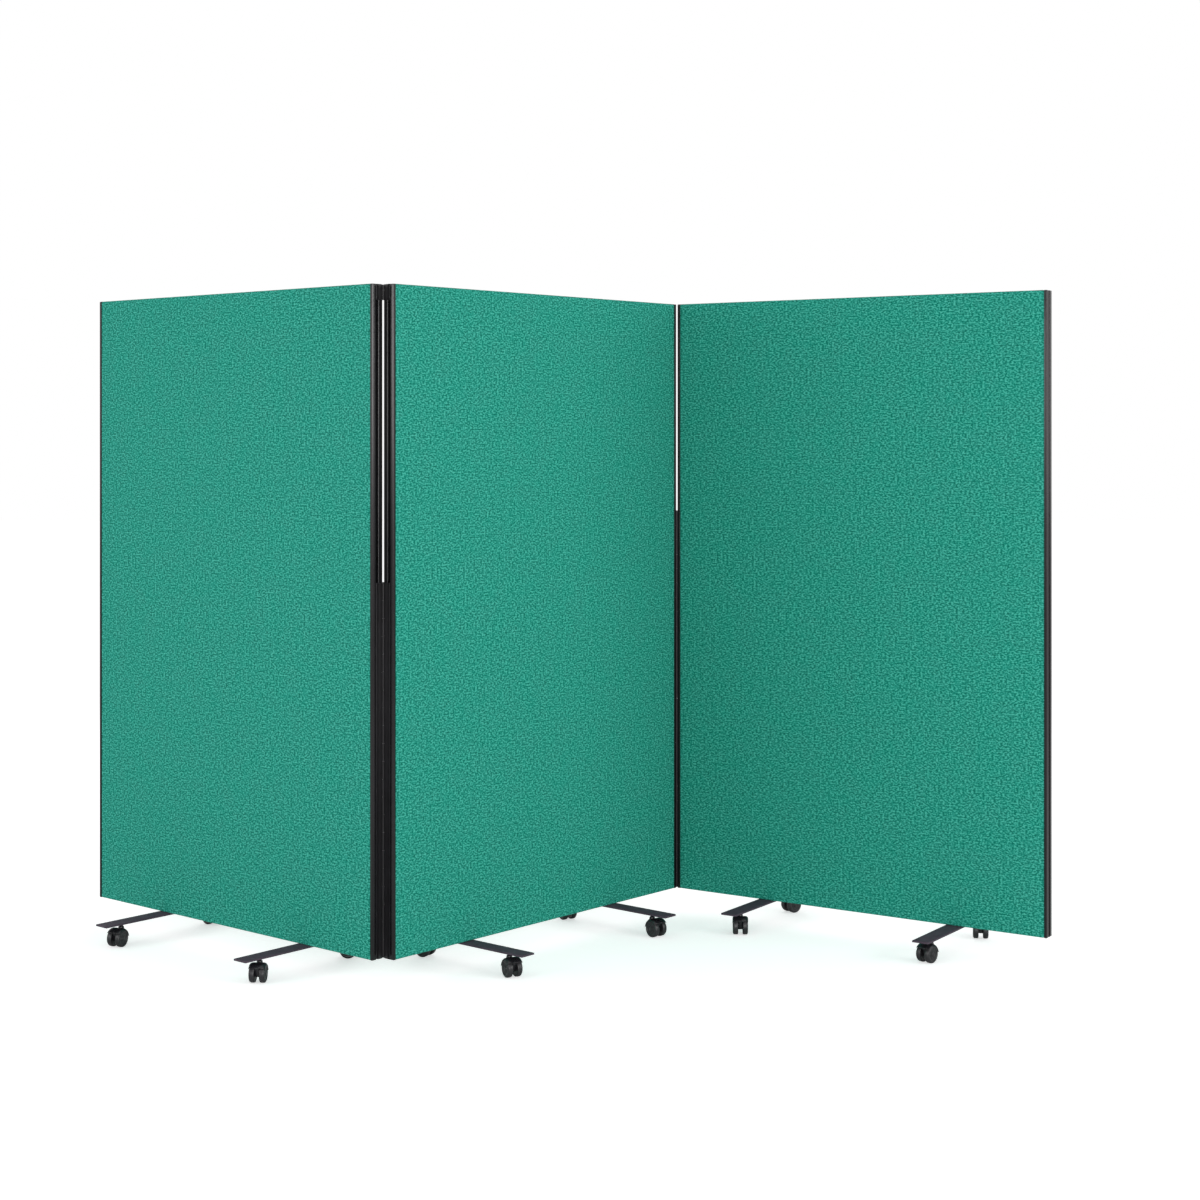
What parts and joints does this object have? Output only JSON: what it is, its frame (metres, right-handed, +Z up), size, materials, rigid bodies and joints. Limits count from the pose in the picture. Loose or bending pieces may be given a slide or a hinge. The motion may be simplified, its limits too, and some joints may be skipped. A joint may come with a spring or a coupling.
{
  "type": "folding privacy screen on castors",
  "caption": "Folding fabric-covered privacy screen that stands on flat cross feet with swivelling twin-wheel castors.",
  "frame": {"origin": "centre of the outer box's bottom face, on the floor that the castors stand on", "axes": "+Z up, +X along the screen's length from the left panel to the right one, -Y towards the side that the left fold points to"},
  "size_m": [2.7694, 0.9764, 1.8683],
  "materials": {
    "fabric": "woven heather cloth in teal green",
    "timber": "planed softwood, unfinished",
    "honeycomb": "plain paper honeycomb board",
    "edge_trim": "black satin anodised",
    "foot_steel": "black powder coat, fine texture",
    "castor_nylon": "black moulded nylon",
    "castor_wheel": "black moulded nylon, worn smooth on the tread",
    "hinge_steel": "black satin paint",
    "pin_steel": "zinc plated"
  },
  "bodies": {
    "middle_panel": {"middle_panel_frame": "timber", "middle_panel_core": "honeycomb", "middle_panel_cover": "fabric", "middle_panel_trim_left": "edge_trim", "middle_panel_foot_left": "foot_steel", "middle_panel_trim_right": "edge_trim", "middle_panel_foot_right": "foot_steel", "left_hinge_top_inner_leaf": "hinge_steel", "left_hinge_top_pin": "pin_steel", "left_hinge_bottom_inner_leaf": "hinge_steel", "left_hinge_bottom_pin": "pin_steel", "right_hinge_top_inner_leaf": "hinge_steel", "right_hinge_top_pin": "pin_steel", "right_hinge_bottom_inner_leaf": "hinge_steel", "right_hinge_bottom_pin": "pin_steel"},
    "left_panel": {"left_hinge_top_outer_leaf": "hinge_steel", "left_hinge_bottom_outer_leaf": "hinge_steel", "left_panel_frame": "timber", "left_panel_core": "honeycomb", "left_panel_cover": "fabric", "left_panel_trim_left": "edge_trim", "left_panel_foot_left": "foot_steel", "left_panel_trim_right": "edge_trim", "left_panel_foot_right": "foot_steel"},
    "right_panel": {"right_hinge_top_outer_leaf": "hinge_steel", "right_hinge_bottom_outer_leaf": "hinge_steel", "right_panel_frame": "timber", "right_panel_core": "honeycomb", "right_panel_cover": "fabric", "right_panel_trim_left": "edge_trim", "right_panel_foot_left": "foot_steel", "right_panel_trim_right": "edge_trim", "right_panel_foot_right": "foot_steel"},
    "left_panel_castor_left_front": {"left_panel_castor_left_front_housing": "castor_nylon"},
    "left_panel_castor_left_front_wheels": {"left_panel_castor_left_front_wheels": "castor_wheel"},
    "left_panel_castor_left_rear": {"left_panel_castor_left_rear_housing": "castor_nylon"},
    "left_panel_castor_left_rear_wheels": {"left_panel_castor_left_rear_wheels": "castor_wheel"},
    "left_panel_castor_right_front": {"left_panel_castor_right_front_housing": "castor_nylon"},
    "left_panel_castor_right_front_wheels": {"left_panel_castor_right_front_wheels": "castor_wheel"},
    "left_panel_castor_right_rear": {"left_panel_castor_right_rear_housing": "castor_nylon"},
    "left_panel_castor_right_rear_wheels": {"left_panel_castor_right_rear_wheels": "castor_wheel"},
    "middle_panel_castor_left_front": {"middle_panel_castor_left_front_housing": "castor_nylon"},
    "middle_panel_castor_left_front_wheels": {"middle_panel_castor_left_front_wheels": "castor_wheel"},
    "middle_panel_castor_left_rear": {"middle_panel_castor_left_rear_housing": "castor_nylon"},
    "middle_panel_castor_left_rear_wheels": {"middle_panel_castor_left_rear_wheels": "castor_wheel"},
    "middle_panel_castor_right_front": {"middle_panel_castor_right_front_housing": "castor_nylon"},
    "middle_panel_castor_right_front_wheels": {"middle_panel_castor_right_front_wheels": "castor_wheel"},
    "middle_panel_castor_right_rear": {"middle_panel_castor_right_rear_housing": "castor_nylon"},
    "middle_panel_castor_right_rear_wheels": {"middle_panel_castor_right_rear_wheels": "castor_wheel"},
    "right_panel_castor_left_front": {"right_panel_castor_left_front_housing": "castor_nylon"},
    "right_panel_castor_left_front_wheels": {"right_panel_castor_left_front_wheels": "castor_wheel"},
    "right_panel_castor_left_rear": {"right_panel_castor_left_rear_housing": "castor_nylon"},
    "right_panel_castor_left_rear_wheels": {"right_panel_castor_left_rear_wheels": "castor_wheel"},
    "right_panel_castor_right_front": {"right_panel_castor_right_front_housing": "castor_nylon"},
    "right_panel_castor_right_front_wheels": {"right_panel_castor_right_front_wheels": "castor_wheel"},
    "right_panel_castor_right_rear": {"right_panel_castor_right_rear_housing": "castor_nylon"},
    "right_panel_castor_right_rear_wheels": {"right_panel_castor_right_rear_wheels": "castor_wheel"}
  },
  "joints": [
    {"name": "fold_left", "type": "hinge", "parent": "middle_panel", "child": "left_panel", "pos_m": [-0.45205, -0.45679, 0.9675], "axis": [0, 0, 1], "range_deg": [-5, 90]},
    {"name": "fold_right", "type": "hinge", "parent": "middle_panel", "child": "right_panel", "pos_m": [0.36344, 0.4298, 0.9675], "axis": [0, 0, 1], "range_deg": [-12.3, 82.7]},
    {"name": "swivel_left_panel_left_front", "type": "hinge", "parent": "left_panel", "child": "left_panel_castor_left_front", "pos_m": [-1.24906, -0.02114, 0.045], "axis": [0, 0, 1], "continuous": true},
    {"name": "swivel_left_panel_left_rear", "type": "hinge", "parent": "left_panel", "child": "left_panel_castor_left_rear", "pos_m": [-1.02429, 0.23926, 0.045], "axis": [0, 0, 1], "continuous": true},
    {"name": "swivel_left_panel_right_front", "type": "hinge", "parent": "left_panel", "child": "left_panel_castor_right_front", "pos_m": [-0.7873, -0.41973, 0.045], "axis": [0, 0, 1], "continuous": true},
    {"name": "swivel_left_panel_right_rear", "type": "hinge", "parent": "left_panel", "child": "left_panel_castor_right_rear", "pos_m": [-0.56252, -0.15932, 0.045], "axis": [0, 0, 1], "continuous": true},
    {"name": "swivel_middle_panel_left_front", "type": "hinge", "parent": "middle_panel", "child": "middle_panel_castor_left_front", "pos_m": [-0.11928, -0.36358, 0.045], "axis": [0, 0, 1], "continuous": true},
    {"name": "swivel_middle_panel_left_rear", "type": "hinge", "parent": "middle_panel", "child": "middle_panel_castor_left_rear", "pos_m": [-0.37968, -0.13881, 0.045], "axis": [0, 0, 1], "continuous": true},
    {"name": "swivel_middle_panel_right_front", "type": "hinge", "parent": "middle_panel", "child": "middle_panel_castor_right_front", "pos_m": [0.27931, 0.09818, 0.045], "axis": [0, 0, 1], "continuous": true},
    {"name": "swivel_middle_panel_right_rear", "type": "hinge", "parent": "middle_panel", "child": "middle_panel_castor_right_rear", "pos_m": [0.0189, 0.32296, 0.045], "axis": [0, 0, 1], "continuous": true},
    {"name": "swivel_right_panel_left_front", "type": "hinge", "parent": "right_panel", "child": "right_panel_castor_left_front", "pos_m": [0.53916, 0.13001, 0.045], "axis": [0, 0, 1], "continuous": true},
    {"name": "swivel_right_panel_left_rear", "type": "hinge", "parent": "right_panel", "child": "right_panel_castor_left_rear", "pos_m": [0.72903, 0.41687, 0.045], "axis": [0, 0, 1], "continuous": true},
    {"name": "swivel_right_panel_right_front", "type": "hinge", "parent": "right_panel", "child": "right_panel_castor_right_front", "pos_m": [1.04783, -0.20667, 0.045], "axis": [0, 0, 1], "continuous": true},
    {"name": "swivel_right_panel_right_rear", "type": "hinge", "parent": "right_panel", "child": "right_panel_castor_right_rear", "pos_m": [1.2377, 0.08018, 0.045], "axis": [0, 0, 1], "continuous": true},
    {"name": "roll_left_panel_left_front", "type": "hinge", "parent": "left_panel_castor_left_front", "child": "left_panel_castor_left_front_wheels", "pos_m": [-1.25581, -0.03783, 0.02437], "axis": [0.9272, -0.3746, 0], "continuous": true},
    {"name": "roll_left_panel_left_rear", "type": "hinge", "parent": "left_panel_castor_left_rear", "child": "left_panel_castor_left_rear_wheels", "pos_m": [-1.03807, 0.25083, 0.02437], "axis": [-0.6428, -0.766, 0], "continuous": true},
    {"name": "roll_left_panel_right_front", "type": "hinge", "parent": "left_panel_castor_right_front", "child": "left_panel_castor_right_front_wheels", "pos_m": [-0.78855, -0.43769, 0.02437], "axis": [0.9976, -0.0698, 0], "continuous": true},
    {"name": "roll_left_panel_right_rear", "type": "hinge", "parent": "left_panel_castor_right_rear", "child": "left_panel_castor_right_rear_wheels", "pos_m": [-0.58034, -0.16183, 0.02437], "axis": [0.1392, -0.9903, 0], "continuous": true},
    {"name": "roll_middle_panel_left_front", "type": "hinge", "parent": "middle_panel_castor_left_front", "child": "middle_panel_castor_left_front_wheels", "pos_m": [-0.1111, -0.37962, 0.02437], "axis": [0.891, 0.454, 0], "continuous": true},
    {"name": "roll_middle_panel_left_rear", "type": "hinge", "parent": "middle_panel_castor_left_rear", "child": "middle_panel_castor_left_rear_wheels", "pos_m": [-0.36409, -0.14781, 0.02437], "axis": [0.5, 0.866, 0], "continuous": true},
    {"name": "roll_middle_panel_right_front", "type": "hinge", "parent": "middle_panel_castor_right_front", "child": "middle_panel_castor_right_front_wheels", "pos_m": [0.29088, 0.0844, 0.02437], "axis": [0.766, 0.6428, 0], "continuous": true},
    {"name": "roll_middle_panel_right_rear", "type": "hinge", "parent": "middle_panel_castor_right_rear", "child": "middle_panel_castor_right_rear_wheels", "pos_m": [0.0279, 0.30737, 0.02437], "axis": [0.866, 0.5, 0], "continuous": true},
    {"name": "roll_right_panel_left_front", "type": "hinge", "parent": "right_panel_castor_left_front", "child": "right_panel_castor_left_front_wheels", "pos_m": [0.53853, 0.11202, 0.02437], "axis": [0.9994, -0.0349, 0], "continuous": true},
    {"name": "roll_right_panel_left_rear", "type": "hinge", "parent": "right_panel_castor_left_rear", "child": "right_panel_castor_left_rear_wheels", "pos_m": [0.71428, 0.40654, 0.02437], "axis": [0.5736, -0.8192, 0], "continuous": true},
    {"name": "roll_right_panel_right_front", "type": "hinge", "parent": "right_panel_castor_right_front", "child": "right_panel_castor_right_front_wheels", "pos_m": [1.03533, -0.21962, 0.02437], "axis": [0.7193, -0.6947, 0], "continuous": true},
    {"name": "roll_right_panel_right_rear", "type": "hinge", "parent": "right_panel_castor_right_rear", "child": "right_panel_castor_right_rear_wheels", "pos_m": [1.23519, 0.06236, 0.02437], "axis": [0.9903, -0.1392, 0], "continuous": true}
  ]
}
